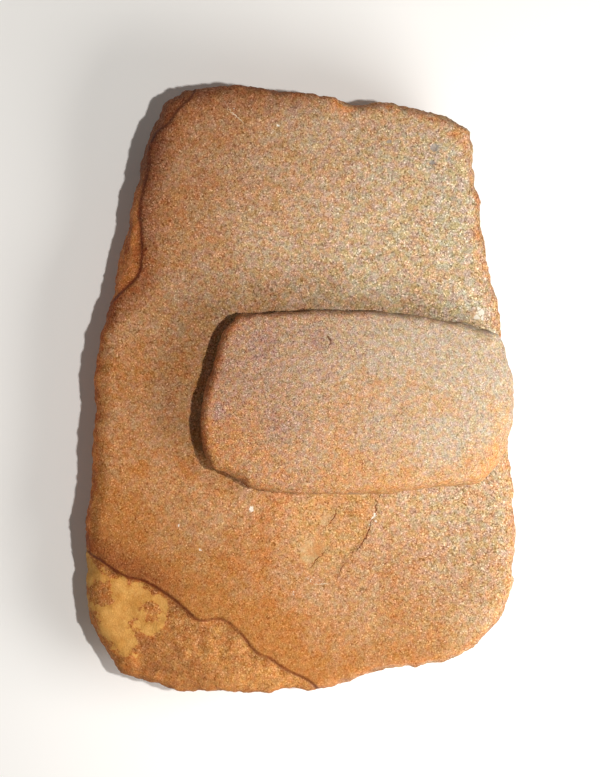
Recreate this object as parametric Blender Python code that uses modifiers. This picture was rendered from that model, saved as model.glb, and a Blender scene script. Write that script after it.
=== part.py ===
"""A saddle quern: a slab of sandstone worn hollow by grinding, and the handstone that lies across it.

Metres, +Z up. The origin is on the floor, at the middle of the pair seen from above. +Y runs along
the bed stone towards its narrow end, and +X to its right. The outlines and the edges of the breaks
are shares of each stone's half width and half length, and every depth and thickness is in metres.
"""

import math

import bmesh
import bpy
from mathutils import Vector, noise
from mathutils.geometry import interpolate_bezier
from mathutils.kdtree import KDTree

# Bed stone
BED_LENGTH = 0.450
BED_WIDTH = 0.321
BED_THICKNESS = 0.078
DISH_DEPTH = 0.014
DISH_SIDE_SHARE = 0.3  # how much of the hollow is lost at the long sides
BED_WAVINESS = 0.0008
BED_WAVE_LENGTH = 0.11
BED_SIDE_LEAN = 0.07  # share by which the underside is smaller all round than the rim
BED_SIDE_VARIATION = 0.6  # how much that lean, and the underside's rounding, vary along the sides
BED_SIDE_WAVE_LENGTH = 0.14
BED_CHIP_DEPTH = 0.0042
BED_CHIP_SIZE = 0.036
BED_CHIP_REACH = 0.024
BED_TRIANGLES = 6200

# Handstone
HANDSTONE_LENGTH = 0.229
HANDSTONE_WIDTH = 0.133
HANDSTONE_THICKNESS = 0.043
HANDSTONE_TAPER = 0.013  # how much thinner its right end is than its left
HANDSTONE_DOME = 0.004
HANDSTONE_MIDDLE_X = 0.0425
HANDSTONE_MIDDLE_Y = -0.0082
HANDSTONE_CHIP_DEPTH = 0.0014
HANDSTONE_CHIP_SIZE = 0.022
HANDSTONE_CHIP_REACH = 0.012
HANDSTONE_TRIANGLES = 2800
REST_GAP = 0.0003

# Edge rounding of each face, as (inwards, down) on the sides that face +Y, +X, -Y and -X
BED_TOP_EDGE = ((0.009, 0.009), (0.015, 0.009), (0.007, 0.008), (0.016, 0.013))
BED_UNDER_EDGE = ((0.026, 0.022), (0.026, 0.022), (0.024, 0.020), (0.030, 0.024))
HANDSTONE_TOP_EDGE = ((0.012, 0.010), (0.026, 0.012), (0.011, 0.010), (0.008, 0.016))
HANDSTONE_UNDER_EDGE = ((0.014, 0.011), (0.022, 0.011), (0.010, 0.010), (0.011, 0.013))

# Breaks. The step is the height of the wall at the break's inner edge, and the fall is what the
# broken surface then loses in height for each metre outwards.
CORNER_STEP = 0.0075
CORNER_WALL = 0.0035
CORNER_FALL = 0.10
EDGE_STEP = 0.0045
EDGE_WALL = 0.0025
EDGE_FALL = 0.75
SPALL_DEPTH = 0.0025
SPALL_WALL = 0.003
SPALL_REACH = 0.050

CHIP_MEAN = 0.6  # share of a chip's depth that the stone's outline already stands for
GRID = 0.003  # spacing of the points that are shaped, before the flatter parts are thinned out
CURVE_STEPS = 10
CAP_WELD = 0.00001

BED_OUTLINE = (
    (-0.620, 0.957), (-0.500, 0.988), (-0.330, 1.000), (-0.020, 0.984), (0.160, 0.966),
    (0.240, 0.937), (0.380, 0.937), (0.600, 0.913), (0.720, 0.888), (0.790, 0.830),
    (0.818, 0.690), (0.838, 0.550), (0.881, 0.394), (0.930, 0.230), (0.952, -0.040),
    (0.968, -0.190), (0.989, -0.295), (0.977, -0.408), (1.000, -0.511), (0.973, -0.623),
    (0.937, -0.745), (0.854, -0.813), (0.701, -0.882), (0.430, -0.917), (0.260, -0.946),
    (0.090, -0.987), (-0.060, -0.984), (-0.235, -1.000), (-0.560, -0.985), (-0.710, -0.965),
    (-0.840, -0.920), (-0.967, -0.779), (-0.992, -0.700), (-0.985, -0.590), (-1.000, -0.477),
    (-0.970, -0.315), (-0.961, -0.100), (-0.946, 0.070), (-0.920, 0.215), (-0.870, 0.344),
    (-0.818, 0.480), (-0.744, 0.715), (-0.703, 0.838), (-0.655, 0.917),
)
HANDSTONE_OUTLINE = (
    (-0.738, 0.956), (-0.550, 0.975), (-0.347, 0.993), (-0.050, 1.000), (0.120, 0.995),
    (0.300, 0.958), (0.529, 0.901), (0.690, 0.867), (0.779, 0.805), (0.850, 0.775),
    (0.914, 0.701), (0.956, 0.479), (0.990, 0.289), (1.000, 0.099), (0.993, -0.130),
    (0.963, -0.416), (0.927, -0.579), (0.876, -0.720), (0.782, -0.861), (0.660, -0.908),
    (0.500, -0.925), (0.320, -0.961), (0.120, -0.997), (-0.250, -1.000), (-0.500, -0.980),
    (-0.680, -0.932), (-0.746, -0.850), (-0.823, -0.782), (-0.921, -0.688), (-0.975, -0.554),
    (-0.998, -0.330), (-0.998, -0.080), (-0.972, 0.180), (-0.943, 0.397), (-0.918, 0.614),
    (-0.883, 0.766), (-0.814, 0.880),
)
# The inner edges of the breaks run with the broken side on their right.
CORNER_BREAK = (
    (-1.030, -0.525), (-0.917, -0.573), (-0.811, -0.619), (-0.724, -0.635), (-0.614, -0.680),
    (-0.536, -0.724), (-0.470, -0.764), (-0.370, -0.760), (-0.290, -0.795), (-0.200, -0.870),
    (-0.140, -0.888), (-0.063, -0.927), (0.057, -0.970), (0.110, -1.030),
)
EDGE_BREAK = (
    (-0.468, 1.023), (-0.510, 0.957), (-0.566, 0.921), (-0.608, 0.878), (-0.669, 0.844),
    (-0.697, 0.791), (-0.701, 0.735), (-0.729, 0.649), (-0.743, 0.582), (-0.734, 0.500),
    (-0.735, 0.430), (-0.756, 0.373), (-0.836, 0.315), (-0.960, 0.240),
)
SPALL_MIDDLE = (0.162, -0.467)
SPALL_CRACK = (
    (0.390, -0.335), (0.341, -0.398), (0.316, -0.450), (0.290, -0.495), (0.237, -0.537),
    (0.180, -0.590), (0.100, -0.625),
)


def smooth_points(points, closed):
    """Points along a smooth curve through the given ones."""
    count = len(points)
    spans = count if closed else count - 1
    made = []
    for i in range(spans):
        if closed:
            before, start, end, after = (points[(i + k) % count] for k in (-1, 0, 1, 2))
        else:
            before, start, end, after = (
                points[min(max(i + k, 0), count - 1)] for k in (-1, 0, 1, 2)
            )
        handle_out = start + (end - before) / 6
        handle_in = end - (after - start) / 6
        made += interpolate_bezier(start, handle_out, handle_in, end, CURVE_STEPS + 1)[:-1]
    if not closed:
        made.append(points[-1])
    return [p.copy() for p in made]


class PlanCurve:
    """A smooth curve seen from above, which tells how far a point is from it and on which side."""

    def __init__(self, shares, half_width, half_length, closed):
        corners = [Vector((u * half_width, v * half_length, 0)) for u, v in shares]
        self.points = smooth_points(corners, closed)
        count = len(self.points)
        self.directions = []
        self.tree = KDTree(count)
        for i, point in enumerate(self.points):
            ahead = self.points[(i + 1) % count if closed else min(i + 1, count - 1)]
            behind = self.points[(i - 1) % count if closed else max(i - 1, 0)]
            self.directions.append((ahead - behind).normalized())
            self.tree.insert(point, i)
        self.tree.balance()

    def nearest(self, x, y):
        """(distance to the right of the curve, the direction that is to its left)."""
        place = Vector((x, y, 0))
        point, index, _ = self.tree.find(place)
        along = self.directions[index]
        left = Vector((-along.y, along.x, 0))
        return (point - place).dot(left), left


def ease(share):
    """0 to 1 with no corner at either end."""
    share = min(max(share, 0.0), 1.0)
    return share * share * (3 - 2 * share)


def by_side(outward, sizes):
    """A pair of sizes for the way the outline faces, blended from those of the four sides."""
    far, right, near, left = sizes
    across = right if outward.x > 0 else left
    along = far if outward.y > 0 else near
    return [outward.x**2 * a + outward.y**2 * b for a, b in zip(across, along)]


def edge_round(inwards, width, depth):
    """How far a face has turned away at this distance inside the outline."""
    share = 1 - min(max(inwards, 0.0) / width, 1.0)
    return depth * (1 - math.sqrt(1 - share * share))


def chip_depth(point, inwards, depth, size, reach):
    """How far the chips go into the stone's sides, from the ridges between them to the middles."""
    distances, _ = noise.voronoi(point / size)
    scoop = max(0.0, 1 - distances[0] ** 2)
    return depth * (scoop - CHIP_MEAN) * (1 - ease(inwards / reach))


def worn_face(x, y):
    """Height of the hollowed grinding face, which both stones share where they meet."""
    u = x / (BED_WIDTH / 2)
    v = y / (BED_LENGTH / 2)
    hollow = max(0.0, 1 - v * v) * (1 - DISH_SIDE_SHARE * min(u * u, 1.0))
    waves = noise.noise(Vector((x, y, 0)) / BED_WAVE_LENGTH)
    return BED_THICKNESS - DISH_DEPTH * hollow + BED_WAVINESS * waves


def break_depth(curve, x, y, step, wall, fall):
    """How far a broken surface lies below the face that it was struck from."""
    outwards, _ = curve.nearest(x, y)
    return step * ease(outwards / wall) + fall * max(0.0, outwards - wall)


def spall_depth(curve, middle, x, y):
    """The shallow flaked patch left of the crack, which runs out to nothing all round."""
    left_of_crack, _ = curve.nearest(x, y)
    from_middle = math.dist((x, y), middle)
    return SPALL_DEPTH * ease(left_of_crack / SPALL_WALL) * (1 - ease(from_middle / SPALL_REACH))


def stone_material(name, colour, roughness):
    material = bpy.data.materials.new(name)
    material.use_nodes = True
    shader = material.node_tree.nodes["Principled BSDF"]
    shader.inputs["Base Color"].default_value = (*colour, 1)
    shader.inputs["Roughness"].default_value = roughness
    shader.inputs["Metallic"].default_value = 0
    return material


def gridded_slab(name, outline, thickness):
    """A mesh of even squares over a slab of this outline, with its underside at z = 0."""
    curve = bpy.data.curves.new(name, "CURVE")
    curve.dimensions = "2D"
    curve.fill_mode = "BOTH"
    curve.extrude = thickness / 2
    spline = curve.splines.new("POLY")
    spline.points.add(len(outline.points) - 1)
    for target, point in zip(spline.points, outline.points):
        target.co = (point.x, point.y, 0, 1)
    spline.use_cyclic_u = True
    flat = bpy.data.objects.new(name, curve)
    bpy.context.scene.collection.objects.link(flat)
    slab_mesh = evaluated_mesh(flat)
    bpy.data.objects.remove(flat)

    bm = bmesh.new()
    bm.from_mesh(slab_mesh)
    bmesh.ops.remove_doubles(bm, verts=bm.verts, dist=CAP_WELD)
    bmesh.ops.translate(bm, verts=bm.verts, vec=(0, 0, thickness / 2))
    bm.to_mesh(slab_mesh)
    bm.free()

    slab = bpy.data.objects.new(name, slab_mesh)
    bpy.context.scene.collection.objects.link(slab)
    remesh = slab.modifiers.new("Even grid", "REMESH")
    remesh.mode = "VOXEL"
    remesh.voxel_size = GRID
    grid_mesh = evaluated_mesh(slab)
    bpy.data.objects.remove(slab)
    return grid_mesh


def evaluated_mesh(obj):
    """A new mesh of the object with its modifiers in place."""
    bpy.context.view_layer.update()
    graph = bpy.context.evaluated_depsgraph_get()
    return bpy.data.meshes.new_from_object(obj.evaluated_get(graph))


def shaped_stone(name, mesh, material, triangles, shape_point):
    """Moves each point of the gridded slab, then thins out the flatter parts."""
    for vertex in mesh.vertices:
        vertex.co = shape_point(vertex.co)
    mesh.shade_smooth()
    mesh.materials.append(material)
    stone = bpy.data.objects.new(name, mesh)
    thin_out = stone.modifiers.new("Thin out", "DECIMATE")
    thin_out.use_collapse_triangulate = True
    thin_out.ratio = min(1.0, triangles / (2 * len(mesh.polygons)))
    return stone


def make_bed_stone():
    half_width = BED_WIDTH / 2
    half_length = BED_LENGTH / 2
    outline = PlanCurve(BED_OUTLINE, half_width, half_length, closed=True)
    corner_break = PlanCurve(CORNER_BREAK, half_width, half_length, closed=False)
    edge_break = PlanCurve(EDGE_BREAK, half_width, half_length, closed=False)
    spall_crack = PlanCurve(SPALL_CRACK, half_width, half_length, closed=False)
    spall_middle = (SPALL_MIDDLE[0] * half_width, SPALL_MIDDLE[1] * half_length)

    def shape_point(place):
        x, y, z = place
        inwards, outward = outline.nearest(x, y)
        inwards = max(inwards, 0.0)
        up = z / BED_THICKNESS
        top = worn_face(x, y)
        top -= break_depth(corner_break, x, y, CORNER_STEP, CORNER_WALL, CORNER_FALL)
        top -= break_depth(edge_break, x, y, EDGE_STEP, EDGE_WALL, EDGE_FALL)
        top -= spall_depth(spall_crack, spall_middle, x, y)
        top -= edge_round(inwards, *by_side(outward, BED_TOP_EDGE))
        swell = 1 + BED_SIDE_VARIATION * noise.noise(Vector((x, y, 0)) / BED_SIDE_WAVE_LENGTH)
        bottom = swell * edge_round(inwards, *by_side(outward, BED_UNDER_EDGE))
        height = bottom + (top - bottom) * up
        shaped = Vector((x, y, height))
        shaped -= outward * chip_depth(
            shaped, inwards, BED_CHIP_DEPTH, BED_CHIP_SIZE, BED_CHIP_REACH
        )
        lean = 1 - BED_SIDE_LEAN * swell * (1 - ease(up))
        return Vector((shaped.x * lean, shaped.y * lean, height))

    mesh = gridded_slab("bed_stone", outline, BED_THICKNESS)
    sandstone = stone_material("red_sandstone", (0.42, 0.24, 0.12), 0.85)
    return shaped_stone("bed_stone", mesh, sandstone, BED_TRIANGLES, shape_point)


def make_handstone():
    half_length = HANDSTONE_LENGTH / 2
    half_width = HANDSTONE_WIDTH / 2
    middle_x = HANDSTONE_MIDDLE_X
    middle_y = HANDSTONE_MIDDLE_Y
    outline = PlanCurve(HANDSTONE_OUTLINE, half_length, half_width, closed=True)
    middle_height = worn_face(middle_x, middle_y) + REST_GAP + HANDSTONE_THICKNESS

    def shape_point(place):
        x, y, z = place
        inwards, outward = outline.nearest(x, y)
        inwards = max(inwards, 0.0)
        up = z / HANDSTONE_THICKNESS
        u = x / half_length
        v = y / half_width
        top = middle_height - HANDSTONE_TAPER / 2 * u - HANDSTONE_DOME * (u * u + v * v)
        top -= edge_round(inwards, *by_side(outward, HANDSTONE_TOP_EDGE))
        bottom = worn_face(middle_x + x, middle_y + y) + REST_GAP
        bottom += edge_round(inwards, *by_side(outward, HANDSTONE_UNDER_EDGE))
        shaped = Vector((x, y, bottom + (top - bottom) * up))
        return shaped - outward * chip_depth(
            shaped, inwards, HANDSTONE_CHIP_DEPTH, HANDSTONE_CHIP_SIZE, HANDSTONE_CHIP_REACH
        )

    mesh = gridded_slab("handstone", outline, HANDSTONE_THICKNESS)
    fine_sandstone = stone_material("fine_sandstone", (0.44, 0.26, 0.17), 0.75)
    stone = shaped_stone(
        "handstone", mesh, fine_sandstone, HANDSTONE_TRIANGLES, shape_point
    )
    stone.location = (middle_x, middle_y, 0)
    return stone


def centre_on_floor(stones):
    """Moves the stones together, so that their box stands on the floor, centred on the origin."""
    bpy.context.view_layer.update()
    graph = bpy.context.evaluated_depsgraph_get()
    corners = []
    for stone in stones:
        evaluated = stone.evaluated_get(graph)
        corners += [
            evaluated.matrix_world @ vertex.co for vertex in evaluated.data.vertices
        ]
    lowest = [min(corner[axis] for corner in corners) for axis in range(3)]
    highest = [max(corner[axis] for corner in corners) for axis in range(3)]
    middle_x = (lowest[0] + highest[0]) / 2
    middle_y = (lowest[1] + highest[1]) / 2
    for stone in stones:
        stone.location -= Vector((middle_x, middle_y, lowest[2]))


def main():
    for old in list(bpy.data.objects):
        bpy.data.objects.remove(old)
    quern = bpy.data.collections.new("saddle_quern")
    bpy.context.scene.collection.children.link(quern)
    stones = [make_bed_stone(), make_handstone()]
    for stone in stones:
        quern.objects.link(stone)
    centre_on_floor(stones)


main()
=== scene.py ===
import math

import bmesh
import bpy
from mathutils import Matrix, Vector, noise
from mathutils.geometry import interpolate_bezier
from mathutils.kdtree import KDTree


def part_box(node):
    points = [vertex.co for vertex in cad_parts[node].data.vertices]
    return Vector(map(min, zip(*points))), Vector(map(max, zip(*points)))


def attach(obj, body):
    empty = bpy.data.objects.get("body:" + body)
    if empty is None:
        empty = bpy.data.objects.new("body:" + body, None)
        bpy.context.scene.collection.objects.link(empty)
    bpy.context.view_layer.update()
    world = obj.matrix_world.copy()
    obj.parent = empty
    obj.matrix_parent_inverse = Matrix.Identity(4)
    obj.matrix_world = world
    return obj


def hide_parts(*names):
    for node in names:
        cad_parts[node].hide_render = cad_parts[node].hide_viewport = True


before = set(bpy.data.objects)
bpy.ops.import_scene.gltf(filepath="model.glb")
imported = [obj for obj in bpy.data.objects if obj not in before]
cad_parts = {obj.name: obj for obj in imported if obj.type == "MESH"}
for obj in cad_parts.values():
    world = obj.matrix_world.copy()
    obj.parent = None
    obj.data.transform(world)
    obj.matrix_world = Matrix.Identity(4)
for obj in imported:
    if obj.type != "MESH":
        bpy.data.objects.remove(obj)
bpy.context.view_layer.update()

# The bed stone: one slab of coarse red-brown sandstone, narrower at its far end. Its upper face was
# ground hollow and smooth, its sides are rough and flaked, and a corner and the left edge have
# broken away. Outlines and breaks are shares of its half width and half length, seen from above.
BED_SPACING = 0.0017
BED_SHARE_KEPT = 0.70
BED_THICKNESS = 0.078
DISH_DEPTH = 0.014
DISH_SIDE_SHARE = 0.3
BED_WAVINESS = 0.0008
BED_WAVE_LENGTH = 0.11
BED_SIDE_LEAN = 0.07
BED_SIDE_VARIATION = 0.6
BED_SIDE_WAVE_LENGTH = 0.14
BED_SIDE_REACH = 0.012
# How far the edges turn away, as (width, depth) on the far, right, near and left sides.
BED_TOP_EDGE = ((0.009, 0.009), (0.015, 0.009), (0.007, 0.008), (0.016, 0.013))
BED_UNDER_EDGE = ((0.026, 0.022), (0.026, 0.022), (0.024, 0.020), (0.030, 0.024))
# Chips along the rim: depth, size, and reach inwards from the outline.
BED_CHIPS = ((0.0042, 0.036, 0.024), (0.0016, 0.015, 0.010), (0.0008, 0.007, 0.006))
CHIP_MEAN = 0.6
# Flake scars along the rim turn its edge away by more or less than its depth: their size and shares.
RIM_SCAR_SIZE = 0.013
RIM_SCAR_LEAST = 0.55
RIM_SCAR_MORE = 0.75
# Rough surfaces are sums of finer and finer lumps: how each is lower and finer than the last.
LUMP_FADE = 0.9
LUMP_STEP = 2.1
FACE_LAYERS = 4
SIDE_LAYERS = 5
BROKEN_RELIEF = 0.0009
BROKEN_GRAIN = 0.011
SIDE_RELIEF = 0.0015
SIDE_GRAIN = 0.009
FACE_RELIEF = 0.0003
FACE_GRAIN = 0.012
PIT_DEPTH = 0.0007
PIT_SIZE = 0.007
PIT_REACH = 0.45
PIT_LOT_STEP = 3.7
CORNER_STEP = 0.0075
CORNER_WALL = 0.0030
CORNER_FALL = 0.10
# The step at the broken corner is full at the left, and thins to this share over these distances.
CORNER_STEP_RIGHT = 0.30
CORNER_STEP_ENDS = (0.04, 0.12)
EDGE_STEP = 0.0045
EDGE_WALL = 0.0022
EDGE_FALL = 0.50
SPALL_WALL = 0.0020
CURVE_STEPS = 10
# Where the ground face ends: how far a normal points up, and how far the rim and its painted
# shade with patina reach in.
WORN_SLOPE = (0.58, 0.84)
RIM_REACH = 0.008
RIM_CORNER_REACH = 0.045
SHADE_PATINA_REACH = 0.030
SHADE_PATINA_SIDE = Vector((-0.8, 0.75, 0.0))

BED_OUTLINE = (
    (-0.620, 0.957), (-0.500, 0.984), (-0.330, 0.994), (-0.020, 0.980), (0.160, 0.966),
    (0.240, 0.937), (0.380, 0.937), (0.600, 0.913), (0.720, 0.888), (0.790, 0.830),
    (0.818, 0.690), (0.838, 0.550), (0.881, 0.394), (0.930, 0.230), (0.952, -0.040),
    (0.968, -0.190), (0.995, -0.295), (0.990, -0.408), (1.000, -0.511), (0.980, -0.623),
    (0.937, -0.745), (0.854, -0.813), (0.701, -0.882), (0.430, -0.917), (0.260, -0.946),
    (0.090, -0.987), (-0.060, -0.984), (-0.235, -1.000), (-0.560, -0.985), (-0.710, -0.965),
    (-0.852, -0.920), (-0.967, -0.779), (-0.992, -0.700), (-0.985, -0.590), (-1.000, -0.477),
    (-0.970, -0.315), (-0.961, -0.100), (-0.946, 0.070), (-0.920, 0.215), (-0.870, 0.344),
    (-0.830, 0.483), (-0.744, 0.715), (-0.703, 0.838), (-0.655, 0.917),
)
CORNER_BREAK = (
    (-1.016, -0.514), (-0.904, -0.562), (-0.800, -0.607), (-0.714, -0.623), (-0.605, -0.667),
    (-0.528, -0.711), (-0.463, -0.750), (-0.364, -0.746), (-0.285, -0.781), (-0.196, -0.855),
    (-0.137, -0.873), (-0.060, -0.911), (0.058, -0.954), (0.111, -1.013),
)
EDGE_BREAK = (
    (-0.461, 1.015), (-0.502, 0.950), (-0.558, 0.915), (-0.599, 0.872), (-0.659, 0.839),
    (-0.687, 0.786), (-0.691, 0.731), (-0.719, 0.646), (-0.732, 0.580), (-0.724, 0.499),
    (-0.725, 0.429), (-0.745, 0.373), (-0.824, 0.316), (-0.947, 0.242),
)
SPALL_CRACK = (
    (0.396, -0.308), (0.372, -0.339), (0.357, -0.367), (0.349, -0.399), (0.332, -0.426),
    (0.318, -0.451), (0.307, -0.481), (0.284, -0.502), (0.261, -0.527), (0.238, -0.535),
    (0.219, -0.552), (0.199, -0.568), (0.186, -0.590),
)
FLAKE_EDGE = ((0.163, -0.400), (0.160, -0.410), (0.150, -0.426), (0.136, -0.438))
PATCH_EDGE = ((0.108, -0.534), (0.097, -0.543), (0.077, -0.553), (0.062, -0.568))
# Flake scars: inner edge, middle, reach in metres and depth in metres.
SPALL_SCARS = (
    (SPALL_CRACK, (0.162, -0.457), 0.050, 0.0016),
    (FLAKE_EDGE, (0.125, -0.420), 0.010, 0.0008),
    (PATCH_EDGE, (0.061, -0.534), 0.013, 0.0006),
)
OCHRE_PATCH = (
    (-1.016, -0.534), (-0.921, -0.583), (-0.829, -0.613), (-0.715, -0.648), (-0.645, -0.678),
    (-0.618, -0.708), (-0.622, -0.770), (-0.659, -0.803), (-0.746, -0.803), (-0.760, -0.835),
    (-0.774, -0.872), (-0.824, -0.885), (-0.885, -0.842), (-0.926, -0.793), (-0.954, -0.737),
    (-1.016, -0.687),
)
OCHRE_BLOTCHES = ((-0.932, -0.672, 0.0080), (-0.677, -0.725, 0.0062), (-0.774, -0.776, 0.0035))
FLAKE_PATCHES = (
    ((0.161, -0.397), (0.157, -0.416), (0.147, -0.429), (0.129, -0.444), (0.102, -0.446),
     (0.088, -0.429), (0.102, -0.409), (0.129, -0.397)),
    ((0.019, -0.501), (0.083, -0.494), (0.129, -0.511), (0.102, -0.541), (0.074, -0.557),
     (0.036, -0.573), (-0.000, -0.564), (-0.005, -0.531)),
)
SCRATCHES = (
    ((-0.300, 0.901), (-0.277, 0.884), (-0.249, 0.862)),
    ((0.022, -0.594), (0.051, -0.610), (0.085, -0.620)),
    ((0.047, -0.624), (0.081, -0.638), (0.112, -0.636)),
)
# White quartz and grey inclusions: middle, radius in metres.
QUARTZ_SPOTS = (
    (-0.225, -0.392, 0.0019), (0.327, -0.405, 0.0008), (0.346, -0.410, 0.0009),
    (0.336, -0.419, 0.0007), (0.325, -0.429, 0.0009), (0.346, -0.431, 0.0008),
    (0.318, -0.439, 0.0007),
    (0.034, -0.351, 0.0010), (0.822, 0.268, 0.0018), (0.838, 0.251, 0.0022),
    (0.818, 0.238, 0.0019), (0.846, 0.229, 0.0020), (0.912, -0.235, 0.0014),
    (-0.559, -0.448, 0.0010), (-0.460, -0.524, 0.0009), (-0.031, -0.665, 0.0010),
    (-0.308, 0.918, 0.0009), (-0.102, 0.866, 0.0009), (-0.267, 0.807, 0.0008),
)
GREY_PITS = (
    (0.618, 0.794, 0.0032), (0.682, 0.760, 0.0018), (0.611, 0.744, 0.0020),
    (0.412, 0.811, 0.0022), (0.555, 0.835, 0.0015), (0.496, 0.696, 0.0014),
)
GREY_PIT_DEPTH = 0.0012
PIT_WALL = 0.0015


def smooth_points(points, closed):
    """Points along a smooth curve through the given ones."""
    count = len(points)
    made = []
    for i in range(count if closed else count - 1):
        if closed:
            before, start, end, after = (points[(i + k) % count] for k in (-1, 0, 1, 2))
        else:
            before, start, end, after = (
                points[min(max(i + k, 0), count - 1)] for k in (-1, 0, 1, 2)
            )
        handle_out = start + (end - before) / 6
        handle_in = end - (after - start) / 6
        made += interpolate_bezier(start, handle_out, handle_in, end, CURVE_STEPS + 1)[:-1]
    if not closed:
        made.append(points[-1])
    return [p.copy() for p in made]


class PlanCurve:
    """A smooth curve seen from above, which tells how far a point is from it and on which side."""

    def __init__(self, shares, middle, half_width, half_length, closed):
        corners = [middle + Vector((u * half_width, v * half_length, 0)) for u, v in shares]
        self.points = smooth_points(corners, closed)
        count = len(self.points)
        self.directions = []
        self.tree = KDTree(count)
        for i, point in enumerate(self.points):
            ahead = self.points[(i + 1) % count if closed else min(i + 1, count - 1)]
            behind = self.points[(i - 1) % count if closed else max(i - 1, 0)]
            self.directions.append((ahead - behind).normalized())
            self.tree.insert(point, i)
        self.tree.balance()

    def nearest(self, x, y):
        """(distance to the right of the curve, the direction that is to its left)."""
        place = Vector((x, y, 0))
        point, index, _ = self.tree.find(place)
        along = self.directions[index]
        left = Vector((-along.y, along.x, 0))
        return (point - place).dot(left), left

    def gap(self, x, y):
        """As the distance above, but past the curve's ends it grows with the distance to them."""
        aside, _ = self.nearest(x, y)
        _, index, away = self.tree.find(Vector((x, y, 0)))
        at_end = index in (0, len(self.points) - 1)
        return math.copysign(away, aside) if at_end else aside


def ease(share):
    """0 to 1 with no corner at either end."""
    share = min(max(share, 0.0), 1.0)
    return share * share * (3 - 2 * share)


def by_side(outward, sizes):
    """A pair of sizes for the way the outline faces, blended from those of the four sides."""
    far, right, near, left = sizes
    across = right if outward.x > 0 else left
    along = far if outward.y > 0 else near
    return [outward.x**2 * a + outward.y**2 * b for a, b in zip(across, along)]


def edge_round(inwards, width, depth):
    """How far a face has turned away at this distance inside the outline."""
    share = 1 - min(max(inwards, 0.0) / width, 1.0)
    return depth * (1 - math.sqrt(1 - share * share))


def scoop(point, size):
    """0 on the ridges between neighbouring flake scars and 1 in the middle of each."""
    distances, _ = noise.voronoi(point / size)
    return max(0.0, 1 - distances[0] ** 2)


def rough(point, size, layers):
    """A rough surface's height, from about -1 to 1, with its broadest lumps of this size."""
    return noise.fractal(point / size, LUMP_FADE, LUMP_STEP, layers)


def pits(point, size):
    """0 on sound stone and up to 1 in the middle of a scattered pit."""
    distances, centres = noise.voronoi(point / size)
    strength = max(0.0, noise.noise(centres[0] * PIT_LOT_STEP))
    return strength * ease(1 - distances[0] / PIT_REACH)


def worn_face(x, y):
    """Height of the hollowed grinding face, which both stones share where they meet."""
    u = (x - bed_middle.x) / bed_half_width
    v = (y - bed_middle.y) / bed_half_length
    hollow = max(0.0, 1 - v * v) * (1 - DISH_SIDE_SHARE * min(u * u, 1.0))
    waves = noise.noise((Vector((x, y, 0)) - bed_middle) / BED_WAVE_LENGTH)
    return BED_THICKNESS - DISH_DEPTH * hollow + BED_WAVINESS * waves


def break_depth(outwards, step, wall, fall):
    """How far a broken surface lies below the face that it was struck from."""
    return step * ease(outwards / wall) + fall * max(0.0, outwards - wall)


def gridded_slab(name, outline, thickness, spacing):
    """An even grid all over a slab of this outline, with its underside at z = 0."""
    bm = bmesh.new()
    rim = bmesh.ops.create_circle(bm, cap_ends=True, segments=len(outline.points), radius=1)
    for vertex, point in zip(rim["verts"], outline.points):
        vertex.co = point
    lifted = bmesh.ops.extrude_face_region(bm, geom=bm.faces[:])
    top = [v for v in lifted["geom"] if isinstance(v, bmesh.types.BMVert)]
    bmesh.ops.translate(bm, verts=top, vec=(0, 0, thickness))
    bmesh.ops.recalc_face_normals(bm, faces=bm.faces)
    slab = bpy.data.objects.new(name, bpy.data.meshes.new(name))
    bm.to_mesh(slab.data)
    bm.free()
    remesh = slab.modifiers.new("Even grid", "REMESH")
    remesh.mode = "VOXEL"
    remesh.voxel_size = spacing
    return applied(slab)


def applied(piece):
    """The mesh that the piece's modifiers make of it."""
    bpy.context.scene.collection.objects.link(piece)
    bpy.context.view_layer.update()
    graph = bpy.context.evaluated_depsgraph_get()
    mesh = bpy.data.meshes.new_from_object(piece.evaluated_get(graph))
    bpy.data.objects.remove(piece)
    return mesh


def kept_in_box(place, low, high):
    """The place, or the nearest one to it in the solid's own box."""
    return Vector([min(max(c, a), b) for c, a, b in zip(place, low, high)])


def worked_stone(name, mesh, shape_point, share_kept, box):
    """Moves each point of the slab, and thins the flatter parts out."""
    for vertex in mesh.vertices:
        vertex.co = kept_in_box(shape_point(vertex.co), *box)
    stone = bpy.data.objects.new(name, mesh)
    thin_out = stone.modifiers.new("Thin out", "DECIMATE")
    thin_out.ratio = share_kept
    mesh = applied(stone)
    mesh.shade_smooth()
    stone = bpy.data.objects.new(name, mesh)
    bpy.context.scene.collection.objects.link(stone)
    return stone


def paint(mesh, name, value_at):
    """A named value at each point of the mesh, for its material to read."""
    attribute = mesh.attributes.new(name, "FLOAT", "POINT")
    for vertex, item in zip(mesh.vertices, attribute.data):
        item.value = value_at(vertex)


bed_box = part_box("bed_stone")
bed_low, bed_high = bed_box
bed_middle = Vector(((bed_low.x + bed_high.x) / 2, (bed_low.y + bed_high.y) / 2, 0))
bed_half_width = (bed_high.x - bed_low.x) / 2
bed_half_length = (bed_high.y - bed_low.y) / 2


def bed_curve(shares, closed=False):
    """A curve over the bed stone, given in shares of its half width and half length."""
    return PlanCurve(shares, bed_middle, bed_half_width, bed_half_length, closed)


def bed_point(u, v):
    return bed_middle + Vector((u * bed_half_width, v * bed_half_length, 0))


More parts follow.
